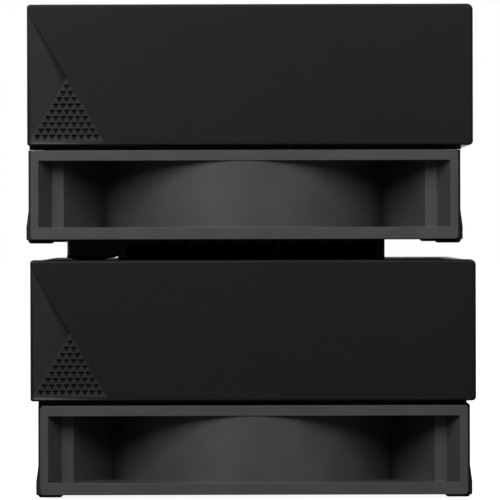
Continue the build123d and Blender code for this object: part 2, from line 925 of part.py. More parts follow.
def rear_panel(with_ports):
    """Thin plate that closes the back of a base: with port windows, or only with vents."""
    low = shell_floor
    high = base_top - 0.2
    middle = (low + high) / 2
    with BuildPart() as plate:
        with BuildSketch(Plane.XZ.offset(-panel_back)):
            with Locations((0, middle)):
                Rectangle(2 * shell_inside - 0.4, high - low)
            if with_ports:
                with Locations((lan_x, lan_middle)):
                    Rectangle(12.5, 8.6, mode=Mode.SUBTRACT)
                with Locations((lan_x, lan_middle - 4.5)):
                    Rectangle(6.6, 2.0, mode=Mode.SUBTRACT)
                for x in usb_places:
                    with Locations((x, usb_middle)):
                        Rectangle(12.6, 5.4, mode=Mode.SUBTRACT)
                with Locations((power_x, power_middle)):
                    Circle(3.6, mode=Mode.SUBTRACT)
                with Locations((button_x, button_middle)):
                    Circle(4.1, mode=Mode.SUBTRACT)
                with Locations((0, high - 4.6)):
                    with GridLocations(4.6, 0, 8, 1):
                        SlotOverall(6.0, 2.2, rotation=90, mode=Mode.SUBTRACT)
            else:
                with Locations((0, middle)):
                    with GridLocations(5.2, 0, 18, 1):
                        SlotOverall(14.0, 2.6, rotation=90, mode=Mode.SUBTRACT)
        extrude(amount=panel_back - panel_front)
    return plate.part


def link_board():
    """Small board in the upper base that takes the link from below."""
    with BuildPart() as board:
        with BuildSketch(Plane.XY.offset(board_bottom)):
            with Locations((0, board_mid)):
                Rectangle(board_width, board_length)
            with Locations((-18.0, board_mid)):
                Rectangle(44.0, 60.0, mode=Mode.SUBTRACT)
        extrude(amount=board_thickness)
        with BuildSketch(Plane.XY.offset(board_top)):
            with Locations((24.0, 34.0)):
                Rectangle(16.0, 16.0)
        extrude(amount=1.4)
    return board.part


# ---- riser between the modules ------------------------------------------------------------------


def riser_frame():
    """Shallow frame under the upper base: open to the front, with a lug on its left."""
    width = riser_right - riser_left
    depth = riser_back - riser_front
    middle_x = (riser_left + riser_right) / 2
    middle_y = (riser_front + riser_back) / 2
    lug_width = riser_left - lug_left
    with BuildPart() as frame:
        with BuildSketch(Plane.XY.offset(riser_bottom)):
            with Locations((middle_x, middle_y)):
                Rectangle(width, depth)
        extrude(amount=base_bottom - riser_bottom)
        with BuildSketch(Plane.XY.offset(riser_bottom)):
            with Locations((middle_x, middle_y - riser_wall)):
                Rectangle(width - 2 * riser_wall, depth)
        extrude(amount=base_bottom - riser_bottom - riser_ceiling, mode=Mode.SUBTRACT)
        with BuildSketch(Plane.XY.offset(riser_bottom + bumper_height)):
            with Locations((riser_left - lug_width / 2, riser_front + lug_length / 2)):
                Rectangle(lug_width, lug_length)
        extrude(amount=base_bottom - riser_bottom - bumper_height)
        fillet(frame.edges().filter_by(Axis.Z).group_by(Axis.X)[0], 2.0)
    return frame.part


def riser_bumper():
    """Soft stop under the lug, with a shallow round foot that stands on the lower bay."""
    lug_bottom = riser_bottom + bumper_height
    bumper_right = riser_left - 0.2
    with BuildPart() as bumper:
        with BuildSketch(Plane.XZ.offset(-riser_front - lug_length)):
            with BuildLine():
                foot_arc = ThreePointArc(
                    (lug_left, riser_bottom + 0.6),
                    (lug_left + 5.4, riser_bottom + 0.02),
                    (bumper_right, riser_bottom + 1.0),
                )
                Line(foot_arc @ 1, (bumper_right, lug_bottom))
                Line((bumper_right, lug_bottom), (lug_left, lug_bottom))
                Line((lug_left, lug_bottom), foot_arc @ 0)
            make_face()
        extrude(amount=lug_length)
    return bumper.part


def jumper_lead():
    """Short lead that comes out of the riser's ceiling, sags through the gap and goes back in."""
    top = base_bottom - riser_ceiling
    low = riser_bottom + lead_radius + 0.6
    y = riser_front + 14.0
    with BuildPart() as lead:
        with BuildLine() as path:
            FilletPolyline(
                (lead_left, y, top),
                (lead_left, y, low + 0.8),
                (-5.0, y + 3.0, low),
                (lead_right, y, low + 0.8),
                (lead_right, y, top),
                radius=[1.2, 14.0, 1.2],
            )
        with BuildSketch(Plane(origin=path.line @ 0, z_dir=(0, 0, -1))):
            Circle(lead_radius)
        sweep(path=path.line)
    return lead.part


def link_plug():
    """Multi-way plug that hangs from the riser's back and enters the lower bay's socket."""
    with BuildPart() as plug:
        with BuildSketch(Plane.XY.offset(riser_bottom + 1.0)):
            with Locations((0, link_y)):
                Rectangle(30.0, 10.0)
        extrude(amount=base_bottom - riser_bottom - 1.0)
        with BuildSketch(Plane.XY.offset(riser_bottom - 2.4)):
            with Locations((0, link_y)):
                Rectangle(24.0, 3.0)
        extrude(amount=3.4)
    return plug.part


def link_socket():
    """Socket in the lower bay's lid, in the lower module's frame."""
    with BuildPart() as socket:
        with BuildSketch(Plane.XY.offset(sleeve_top - 3.6)):
            with Locations((0, link_y)):
                Rectangle(31.0, 9.0)
        extrude(amount=3.6)
        with BuildSketch(Plane.XY.offset(sleeve_top - 3.0)):
            with Locations((0, link_y)):
                Rectangle(25.0, 3.8)
        extrude(amount=3.0, mode=Mode.SUBTRACT)
    return socket.part


# ---- assembly -----------------------------------------------------------------------------------


def place(name, part, x_shift, z_shift):
    """Moves a piece from the module frame to its own module and keeps it under its node name."""
    piece = part.moved(Location((x_shift, 0, z_shift)))
    piece.label = name
    made[name] = piece


base_pieces = {
    "base_shell": base_shell(),
    "scoop": scoop(),
    "base_deck": deck(),
    "feet": feet(),
    "isolation_pads": isolation_pads(),
    "blower_housing": blower_housing(),
    "blower_cover": blower_cover_plate(),
    "blower_rotor": blower_rotor(),
}
bay_pieces = {
    "bay_floor": sleeve_floor(),
    "rear_grille": rear_grille(),
    "backplane": backplane(),
    "sata_receptacle": sata_receptacle(),
    "fascia": fascia(),
    "drive_tray": tray(),
    "drive_casting": drive_casting(),
    "drive_cover": drive_cover(),
    "drive_board": drive_board(),
    "drive_screws": drive_screws(),
    "latch_body": latch_body(),
    "latch_plunger": latch_plunger(),
}
modules = (
    ("lower", 0.0, lower_base_shift, lower_bay_shift),
    ("upper", module_pitch, upper_base_shift, upper_bay_shift),
)

for module, height, base_x, bay_x in modules:
    place(f"{module}_case_screws", case_screws(base_x - bay_x), bay_x, height)
    for name, part in base_pieces.items():
        place(f"{module}_{name}", part, base_x, height)
    for name, part in bay_pieces.items():
        place(f"{module}_{name}", part, bay_x, height)

# The lower lid has a window for the link socket; the upper one is plain.
plain_lid = sleeve_lid()
with BuildPart() as pierced_lid:
    add(plain_lid)
    with BuildSketch(Plane.XY.offset(sleeve_top)):
        with Locations((0, link_y)):
            Rectangle(31.2, 9.2)
    extrude(amount=-sleeve_wall, mode=Mode.SUBTRACT)
place("lower_bay_lid", pierced_lid.part, lower_bay_shift, 0)
place("upper_bay_lid", plain_lid, upper_bay_shift, module_pitch)

lower_only = {
    "main_board": main_board(),
    "heat_sink": heat_sink(),
    "lan_jack": lan_jack(),
    "usb_ports": usb_ports(),
    "power_jack": power_jack(),
    "button_guide": button_guide(),
    "power_button": power_button(),
    "lower_rear_panel": rear_panel(with_ports=True),
}
for name, part in lower_only.items():
    place(name, part, lower_base_shift, 0)
place("link_socket", link_socket(), lower_bay_shift, 0)

place("upper_rear_panel", rear_panel(with_ports=False), upper_base_shift, module_pitch)
place("link_board", link_board(), upper_base_shift, module_pitch)
place("riser_frame", riser_frame(), 0, module_pitch)
place("riser_bumper", riser_bumper(), 0, module_pitch)
place("jumper_lead", jumper_lead(), 0, module_pitch)
place("link_plug", link_plug(), lower_bay_shift, module_pitch)

os.makedirs("parts", exist_ok=True)
for name, piece in made.items():
    export_step(piece, f"parts/{name}.step")

box = Compound(children=list(made.values())).bounding_box()
print(len(made), "nodes")
print("box", [round(v, 3) for v in (*box.min, *box.max)])
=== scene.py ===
import json
import math

import bmesh
import bpy
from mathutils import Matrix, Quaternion, Vector


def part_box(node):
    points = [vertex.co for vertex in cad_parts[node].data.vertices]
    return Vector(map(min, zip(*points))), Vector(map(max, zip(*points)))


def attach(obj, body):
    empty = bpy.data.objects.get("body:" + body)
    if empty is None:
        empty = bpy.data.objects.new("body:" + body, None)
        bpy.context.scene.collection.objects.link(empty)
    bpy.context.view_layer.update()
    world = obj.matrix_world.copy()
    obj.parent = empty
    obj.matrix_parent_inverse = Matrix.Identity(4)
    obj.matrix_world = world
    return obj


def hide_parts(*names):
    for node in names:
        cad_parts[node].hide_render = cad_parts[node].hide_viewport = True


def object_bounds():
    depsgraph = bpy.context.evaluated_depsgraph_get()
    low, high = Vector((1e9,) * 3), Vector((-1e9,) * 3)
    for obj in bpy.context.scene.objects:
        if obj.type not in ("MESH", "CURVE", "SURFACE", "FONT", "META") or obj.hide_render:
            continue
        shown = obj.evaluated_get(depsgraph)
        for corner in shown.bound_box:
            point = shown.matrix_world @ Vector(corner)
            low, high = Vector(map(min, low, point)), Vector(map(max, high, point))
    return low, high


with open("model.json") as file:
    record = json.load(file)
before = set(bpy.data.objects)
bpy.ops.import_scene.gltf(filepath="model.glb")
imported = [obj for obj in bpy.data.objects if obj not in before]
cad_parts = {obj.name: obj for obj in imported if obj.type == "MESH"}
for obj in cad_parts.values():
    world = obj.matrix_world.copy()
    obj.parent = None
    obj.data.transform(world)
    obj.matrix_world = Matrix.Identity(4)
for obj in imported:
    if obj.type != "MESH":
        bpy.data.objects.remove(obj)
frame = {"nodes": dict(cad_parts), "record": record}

cadLow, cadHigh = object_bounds()
mm = 0.001
modules = ("lower", "upper")
weldDistance = 0.0005 * mm


# finishes
# grain and mottle sizes are in millimetres, the edge lightening is how far an edge is lightened: rubbed
# wear, and on the grey scoops mostly a painted highlight, and the shine is the strength of the mirror
# reflection where it isn't the usual 0.5

finishes = {
    "fascia_black": dict(
        colour=(0.0052, 0.0052, 0.0053), rough=0.46, grain=0.16, bump=0.10, mottle=14, edgeWearAndHighlight=0.014,
        shine=0.34,
    ),
    # the left facet is the fascia's black plastic painted lighter: a painted reflection of the lamps on
    # the tilted facet
    "facet_painted_lit": dict(
        colour=(0.0172, 0.0172, 0.0175), rough=0.44, grain=0.16, bump=0.10, mottle=10, edgeWearAndHighlight=0.014,
    ),
    # the lattice is also the fascia's black painted lighter: a painted reflection on the upward-tilted
    # facet
    "lattice_painted_lit": dict(
        colour=(0.0150, 0.0150, 0.0152), rough=0.42, grain=0.12, bump=0.08, mottle=6, edgeWearAndHighlight=0.010,
    ),
    # the pits are the fascia's black painted darker: painted shade in the pits
    "pit_painted_shade": dict(
        colour=(0.0040, 0.0040, 0.0041), rough=0.60, grain=0.12, bump=0.08, mottle=6, edgeWearAndHighlight=0.0, shine=0.25,
    ),
    # the sill strip is the fascia's black painted lighter: a painted highlight on the strip that falls
    # forward
    "sill_painted_highlight": dict(
        colour=(0.0260, 0.0260, 0.0262), rough=0.40, grain=0.12, bump=0.06, mottle=8, edgeWearAndHighlight=0.020,
    ),
    # the grey scoops' edges are lightened far past wear: a painted highlight along their edges
    "scoop_grey": dict(
        colour=(0.076, 0.076, 0.077), rough=0.47, grain=0.22, bump=0.22, mottle=9, edgeWearAndHighlight=0.110,
    ),
    "shell_black": dict(
        colour=(0.013, 0.013, 0.0135), rough=0.58, grain=0.25, bump=0.25, mottle=12, edgeWearAndHighlight=0.020,
    ),
    "riser_black": dict(
        colour=(0.006, 0.006, 0.0065), rough=0.50, grain=0.25, bump=0.15, mottle=10, edgeWearAndHighlight=0.010,
    ),
    "case_paint": dict(
        colour=(0.017, 0.017, 0.0175), rough=0.34, grain=0.35, bump=0.30, mottle=20, edgeWearAndHighlight=0.035,
    ),
    "rubber": dict(
        colour=(0.010, 0.010, 0.010), rough=0.80, grain=0.30, bump=0.30, mottle=5, edgeWearAndHighlight=0.012,
    ),
    "blower_black": dict(
        colour=(0.016, 0.016, 0.017), rough=0.45, grain=0.20, bump=0.10, mottle=8, edgeWearAndHighlight=0.015,
    ),
    "tray_black": dict(
        colour=(0.024, 0.024, 0.025), rough=0.55, grain=0.22, bump=0.20, mottle=10, edgeWearAndHighlight=0.030,
    ),
    "socket_black": dict(
        colour=(0.016, 0.016, 0.016), rough=0.40, grain=0.15, bump=0.08, mottle=6, edgeWearAndHighlight=0.020,
    ),
    "button_black": dict(
        colour=(0.015, 0.015, 0.015), rough=0.18, grain=0.15, bump=0.02, mottle=6, edgeWearAndHighlight=0.020,
    ),
    "lead_black": dict(
        colour=(0.030, 0.030, 0.031), rough=0.30, grain=0.20, bump=0.05, mottle=6, edgeWearAndHighlight=0.0,
    ),
    "pin_white": dict(
        colour=(0.68, 0.67, 0.63), rough=0.40, grain=0.15, bump=0.05, mottle=4, edgeWearAndHighlight=0.02,
    ),
}

# how every moulded surface varies, whatever its colour
moulding = dict(
    usualShine=0.5,
    mottleFrom=0.35,
    mottleTo=0.68,
    mottleShare=0.10,  # how far the blotches stray from the colour
    scuffSize=1.1,  # millimetres
    glossier=0.06,
    duller=0.07,
    grainHeight=0.02,  # millimetres
    edgeFrom=0.995,  # flat ground
    edgeTo=0.80,  # a worn edge
    edgeSamples=4,
)


def newMaterial(name):
    material = bpy.data.materials.new(name)
    material.use_nodes = True
    nodes = material.node_tree.nodes
    nodes.clear()
    output = nodes.new("ShaderNodeOutputMaterial")
    shader = nodes.new("ShaderNodeBsdfPrincipled")
    material.node_tree.links.new(shader.outputs["BSDF"], output.inputs["Surface"])
    return material, shader


def noiseAt(material, size, detail=4.0, stretch=(1, 1, 1)):
    # a noise whose blotches are about size millimetres wide, pulled out along an axis if asked
    nodes = material.node_tree.nodes
    link = material.node_tree.links.new
    place = nodes.new("ShaderNodeTexCoord")
    mapping = nodes.new("ShaderNodeMapping")
    mapping.inputs["Scale"].default_value = stretch
    noise = nodes.new("ShaderNodeTexNoise")
    noise.inputs["Scale"].default_value = 1.0 / (size * mm)
    noise.inputs["Detail"].default_value = detail
    link(place.outputs["Object"], mapping.inputs["Vector"])
    link(mapping.outputs["Vector"], noise.inputs["Vector"])
    return noise


def edgeMask(material, radius=0.35):
    # 0 on flat ground, rising to 1 on sharp outside edges
    nodes = material.node_tree.nodes
    link = material.node_tree.links.new
    bevel = nodes.new("ShaderNodeBevel")
    bevel.samples = moulding["edgeSamples"]
    bevel.inputs["Radius"].default_value = radius * mm
    plain = nodes.new("ShaderNodeNewGeometry")
    dot = nodes.new("ShaderNodeVectorMath")
    dot.operation = "DOT_PRODUCT"
    link(bevel.outputs["Normal"], dot.inputs[0])
    link(plain.outputs["Normal"], dot.inputs[1])
    spread = nodes.new("ShaderNodeMapRange")
    spread.inputs["From Min"].default_value = moulding["edgeFrom"]
    spread.inputs["From Max"].default_value = moulding["edgeTo"]
    link(dot.outputs["Value"], spread.inputs["Value"])
    return spread, bevel


def mouldedFinish(name, look):
    # moulded or painted surface: mottled colour, uneven gloss, fine grain, edges lightened as rubbed wear
    # and, where the lightening is large, as a painted highlight
    material, shader = newMaterial(name)
    nodes = material.node_tree.nodes
    link = material.node_tree.links.new
    base = look["colour"]
    shader.inputs["Specular IOR Level"].default_value = look.get("shine", moulding["usualShine"])
    mottle = noiseAt(material, look["mottle"])
    tint = nodes.new("ShaderNodeValToRGB")
    tint.color_ramp.elements[0].position = moulding["mottleFrom"]
    tint.color_ramp.elements[1].position = moulding["mottleTo"]
    tint.color_ramp.elements[0].color = (*[c * (1 - moulding["mottleShare"]) for c in base], 1)
    tint.color_ramp.elements[1].color = (*[c * (1 + moulding["mottleShare"]) for c in base], 1)
    link(mottle.outputs["Fac"], tint.inputs["Fac"])
    edge, bevel = edgeMask(material)
    # edges lightened: rubbed wear, and where the lightening is large, as on the grey scoops, a painted
    # highlight
    rubbedAndLit = nodes.new("ShaderNodeMix")
    rubbedAndLit.data_type = "RGBA"
    rubbedAndLit.inputs["B"].default_value = (*[c + look["edgeWearAndHighlight"] for c in base], 1)
    breakUp = nodes.new("ShaderNodeMath")
    breakUp.operation = "MULTIPLY"
    scuff = noiseAt(material, moulding["scuffSize"], detail=6.0)
    link(edge.outputs["Result"], breakUp.inputs[0])
    link(scuff.outputs["Fac"], breakUp.inputs[1])
    link(breakUp.outputs["Value"], rubbedAndLit.inputs["Factor"])
    link(tint.outputs["Color"], rubbedAndLit.inputs["A"])
    link(rubbedAndLit.outputs["Result"], shader.inputs["Base Color"])
    grain = noiseAt(material, look["grain"], detail=3.0)
    gloss = nodes.new("ShaderNodeMapRange")
    gloss.inputs["To Min"].default_value = look["rough"] - moulding["glossier"]
    gloss.inputs["To Max"].default_value = look["rough"] + moulding["duller"]
    link(scuff.outputs["Fac"], gloss.inputs["Value"])
    link(gloss.outputs["Result"], shader.inputs["Roughness"])
    bump = nodes.new("ShaderNodeBump")
    bump.inputs["Strength"].default_value = look["bump"]
    bump.inputs["Distance"].default_value = moulding["grainHeight"] * mm
    link(grain.outputs["Fac"], bump.inputs["Height"])
    link(bevel.outputs["Normal"], bump.inputs["Normal"])
    link(bump.outputs["Normal"], shader.inputs["Normal"])
    return material


metals = {
    "deck_steel": dict(colour=(0.42, 0.42, 0.43), rough=0.38, brush=(1, 0.02, 1)),
    "bare_steel": dict(colour=(0.46, 0.46, 0.47), rough=0.40, brush=(1, 0.02, 1)),
    "drive_aluminium": dict(colour=(0.34, 0.345, 0.35), rough=0.50, brush=(1, 1, 1)),
    "drive_steel": dict(colour=(0.36, 0.365, 0.37), rough=0.38, brush=(0.02, 1, 1)),
    "sink_aluminium": dict(colour=(0.55, 0.56, 0.57), rough=0.34, brush=(1, 0.03, 1)),
    "screw_steel": dict(colour=(0.42, 0.42, 0.43), rough=0.24, brush=(1, 1, 1)),
    "socket_metal": dict(colour=(0.58, 0.58, 0.59), rough=0.28, brush=(0.05, 1, 1)),
}

# how every metal surface varies
metalwork = dict(
    stainSize=16,  # millimetres
    stainFrom=0.30,
    stainTo=0.60,
    stainDark=0.84,
    stainLight=1.06,
    brushSize=0.25,  # millimetres
    glossier=0.10,
    duller=0.12,
    edgeRadius=0.25,  # millimetres
    brushBump=0.12,
    brushHeight=0.02,  # millimetres
)


def metalFinish(name, look):
    # sheet or cast metal: brushed or blasted gloss, with a few darker stains
    material, shader = newMaterial(name)
    nodes = material.node_tree.nodes
    link = material.node_tree.links.new
    base = look["colour"]
    shader.inputs["Metallic"].default_value = 1.0
    stain = noiseAt(material, metalwork["stainSize"])
    tint = nodes.new("ShaderNodeValToRGB")
    tint.color_ramp.elements[0].position = metalwork["stainFrom"]
    tint.color_ramp.elements[1].position = metalwork["stainTo"]
    tint.color_ramp.elements[0].color = (*[c * metalwork["stainDark"] for c in base], 1)
    tint.color_ramp.elements[1].color = (*[min(c * metalwork["stainLight"], 1) for c in base], 1)
    link(stain.outputs["Fac"], tint.inputs["Fac"])
    link(tint.outputs["Color"], shader.inputs["Base Color"])
    brushing = noiseAt(material, metalwork["brushSize"], detail=5.0, stretch=look["brush"])
    gloss = nodes.new("ShaderNodeMapRange")
    gloss.inputs["To Min"].default_value = look["rough"] - metalwork["glossier"]
    gloss.inputs["To Max"].default_value = look["rough"] + metalwork["duller"]
    link(brushing.outputs["Fac"], gloss.inputs["Value"])
    link(gloss.outputs["Result"], shader.inputs["Roughness"])
    edge, bevel = edgeMask(material, metalwork["edgeRadius"])
    bump = nodes.new("ShaderNodeBump")
    bump.inputs["Strength"].default_value = metalwork["brushBump"]
    bump.inputs["Distance"].default_value = metalwork["brushHeight"] * mm
    link(brushing.outputs["Fac"], bump.inputs["Height"])
    link(bevel.outputs["Normal"], bump.inputs["Normal"])
    link(bump.outputs["Normal"], shader.inputs["Normal"])
    return material


boardLook = dict(
    mask=(0.010, 0.075, 0.030),
    copper=(0.030, 0.150, 0.060),  # copper seen through the mask
    trackWidth=1.3,  # millimetres
    trackShare=0.035,
    darkShare=0.85,
    cloudSize=3.0,  # millimetres
    roughLow=0.22,
    roughHigh=0.40,
    bump=0.30,
    trackHeight=0.03,  # millimetres
)


def boardFinish(name):
    # solder mask over raised copper tracks
    material, shader = newMaterial(name)
    nodes = material.node_tree.nodes
    link = material.node_tree.links.new
    place = nodes.new("ShaderNodeTexCoord")
    tracks = nodes.new("ShaderNodeTexBrick")
    tracks.inputs["Scale"].default_value = 1.0 / (boardLook["trackWidth"] * 4 * mm)
    tracks.inputs["Mortar Size"].default_value = boardLook["trackShare"]
    tracks.inputs["Color1"].default_value = (*boardLook["mask"], 1)
    tracks.inputs["Color2"].default_value = (*[c * boardLook["darkShare"] for c in boardLook["mask"]], 1)
    tracks.inputs["Mortar"].default_value = (*boardLook["copper"], 1)
    link(place.outputs["Object"], tracks.inputs["Vector"])
    link(tracks.outputs["Color"], shader.inputs["Base Color"])
    cloud = noiseAt(material, boardLook["cloudSize"])
    gloss = nodes.new("ShaderNodeMapRange")
    gloss.inputs["To Min"].default_value = boardLook["roughLow"]
    gloss.inputs["To Max"].default_value = boardLook["roughHigh"]
    link(cloud.outputs["Fac"], gloss.inputs["Value"])
    link(gloss.outputs["Result"], shader.inputs["Roughness"])
    bump = nodes.new("ShaderNodeBump")
    bump.inputs["Strength"].default_value = boardLook["bump"]
    bump.inputs["Distance"].default_value = boardLook["trackHeight"] * mm
    link(tracks.outputs["Fac"], bump.inputs["Height"])
    link(bump.outputs["Normal"], shader.inputs["Normal"])
    return material


looks = {name: mouldedFinish(name, look) for name, look in finishes.items()}
looks.update({name: metalFinish(name, look) for name, look in metals.items()})
looks["board_green"] = boardFinish("board_green")
print("finishes made:", len(looks))


# mesh helpers


def newPiece(name, bm, material, body, slotName, *nodes):
    # closes off a mesh, gives it to its body and lets it stand for the nodes named
    bmesh.ops.remove_doubles(bm, verts=bm.verts, dist=weldDistance)
    bmesh.ops.recalc_face_normals(bm, faces=bm.faces)
    mesh = bpy.data.meshes.new(name)
    bm.to_mesh(mesh)
    bm.free()
    piece = bpy.data.objects.new(name, mesh)
    bpy.context.scene.collection.objects.link(piece)
    mesh.materials.append(looks[material])
    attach(piece, body)
    if nodes:
        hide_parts(*nodes)
    return piece


def smoothByAngle(piece, degrees=32):
    piece.data.shade_smooth()
    piece.data.set_sharp_from_angle(angle=math.radians(degrees))


def softEdges(piece, width, segments=3, degrees=35):
    # rounds every edge sharper than the angle and keeps the flats flat
    smoothByAngle(piece, degrees)
    bevel = piece.modifiers.new("softEdges", "BEVEL")
    bevel.width = width * mm
    bevel.segments = segments
    bevel.limit_method = "ANGLE"
    bevel.angle_limit = math.radians(degrees)
    bevel.miter_outer = "MITER_ARC"
    bevel.harden_normals = True


def addPrism(bm, outline, axis, low, high):
    # closed prism of an outline along an axis; the outline is in the other two axes, in their order
    def corner(a, b, c):
        point = {"x": (c, a, b), "y": (a, c, b), "z": (a, b, c)}[axis]
        return bm.verts.new(point)

    near = [corner(a, b, low) for a, b in outline]
    far = [corner(a, b, high) for a, b in outline]
    bm.faces.new(near)
    bm.faces.new(far)
    for i in range(len(near)):
        j = (i + 1) % len(near)
        bm.faces.new((near[i], near[j], far[j], far[i]))


def arcPoints(centre, radius, start, end, steps):
    # points of an arc, from the start angle to the end angle in degrees
    points = []
    for i in range(steps + 1):
        turn = math.radians(start + (end - start) * i / steps)
        points.append((centre[0] + radius * math.cos(turn), centre[1] + radius * math.sin(turn)))
    return points


def roundedRect(left, low, right, high, radius, steps=6):
    # anticlockwise outline from the lower left corner; radius is one number or one for each corner
    corners = [radius] * 4 if isinstance(radius, (int, float)) else radius
    lowLeft, lowRight, highRight, highLeft = corners
    points = arcPoints((left + lowLeft, low + lowLeft), lowLeft, 180, 270, steps)
    points += arcPoints((right - lowRight, low + lowRight), lowRight, 270, 360, steps)
    points += arcPoints((right - highRight, high - highRight), highRight, 0, 90, steps)
    points += arcPoints((left + highLeft, high - highLeft), highLeft, 90, 180, steps)
    return points


def carve(piece, outline, axis, low, high, operation="DIFFERENCE"):
    # cuts a prism out of a piece, or joins one to it, and applies it
    bm = bmesh.new()
    addPrism(bm, outline, axis, low, high)
    bmesh.ops.recalc_face_normals(bm, faces=bm.faces)
    mesh = bpy.data.meshes.new("tool")
    bm.to_mesh(mesh)
    bm.free()
    tool = bpy.data.objects.new("tool", mesh)
    bpy.context.scene.collection.objects.link(tool)
    boolean = piece.modifiers.new("carve", "BOOLEAN")
    boolean.operation = operation
    boolean.solver = "EXACT"
    boolean.object = tool
    applyModifiers(piece)
    bpy.data.objects.remove(tool)
    bpy.data.meshes.remove(mesh)


def applyModifiers(piece):
    graph = bpy.context.evaluated_depsgraph_get()
    made = bpy.data.meshes.new_from_object(piece.evaluated_get(graph))
    piece.modifiers.clear()
    piece.data = made


# drawer fronts

fasciaPlan = dict(
    edgeRound=dict(left=0.55, right=2.4, low=0.50, high=0.70),  # width of each front edge's rounding
    edgeDepth=0.75,  # how far back the rounding runs
    edgeSteps=6,
    corners=(0.7, 1.1, 1.6, 0.9),  # lower left, lower right, upper right, upper left
    cornerSteps=5,
    cornerKeep=0.7,  # share of an edge's rounding that comes off the corner radius in front
    leastCorner=0.12,
    backChamfer=0.3,
    side=19.8,  # side of the pitted facet
    rise=16.8,  # its height
    margin=0.85,
    toePast=1.15,  # how far the lower edge of the sill runs past the facet
    sill=1.32,  # height of the facet's lower edge
    sillDepth=0.42,
    farDepth=0.06,  # of the facet's lower right corner
    strip=dict(inset=0.6, share=0.80, height=0.42),  # where the strip under the facet starts; its brightness comes partly from its forward tilt and partly from a painted highlight
    drop=2.6,  # from the top edge down to where the crease starts
    low=dict(left=0.12, depth=2.0, down=0.10),  # low point of the corner, from the facet's top corner
    rows=10,
    pit=dict(rim=0.86, floor=0.55, depth=0.60),
    # lip behind the seam: its runs from the left side, how far it hangs, and its thickness
    lip=dict(
        spans=dict(lower=(2.0, 117.6), upper=(0.45, 116.9)), drop=1.10, rise=1.5, thick=2.0, behind=0.2,
    ),
    pocket=dict(rise=6, height=10, side=3, depth=3.5, corner=1, past=1),  # hollow in the back
    flatAngle=24,
)


def fasciaRing(width, height, plan, along, depth):
    # one outline of the rounded front edge: along runs from 0 at the flat front to 1 at the sides
    edge = plan["edgeRound"]
    keep = 1 - along
    left = edge["left"] * keep
    right = width - edge["right"] * keep
    low = edge["low"] * keep
    high = height - edge["high"] * keep
    radii = []
    meeting = (("left", "low"), ("right", "low"), ("right", "high"), ("left", "high"))
    for corner, sides in zip(plan["corners"], meeting):
        inset = max(edge[s] for s in sides) * keep
        radii.append(max(corner - inset * plan["cornerKeep"], plan["leastCorner"]))
    points = roundedRect(left, low, right, high, radii, plan["cornerSteps"])
    return [(u, depth, v) for u, v in points]


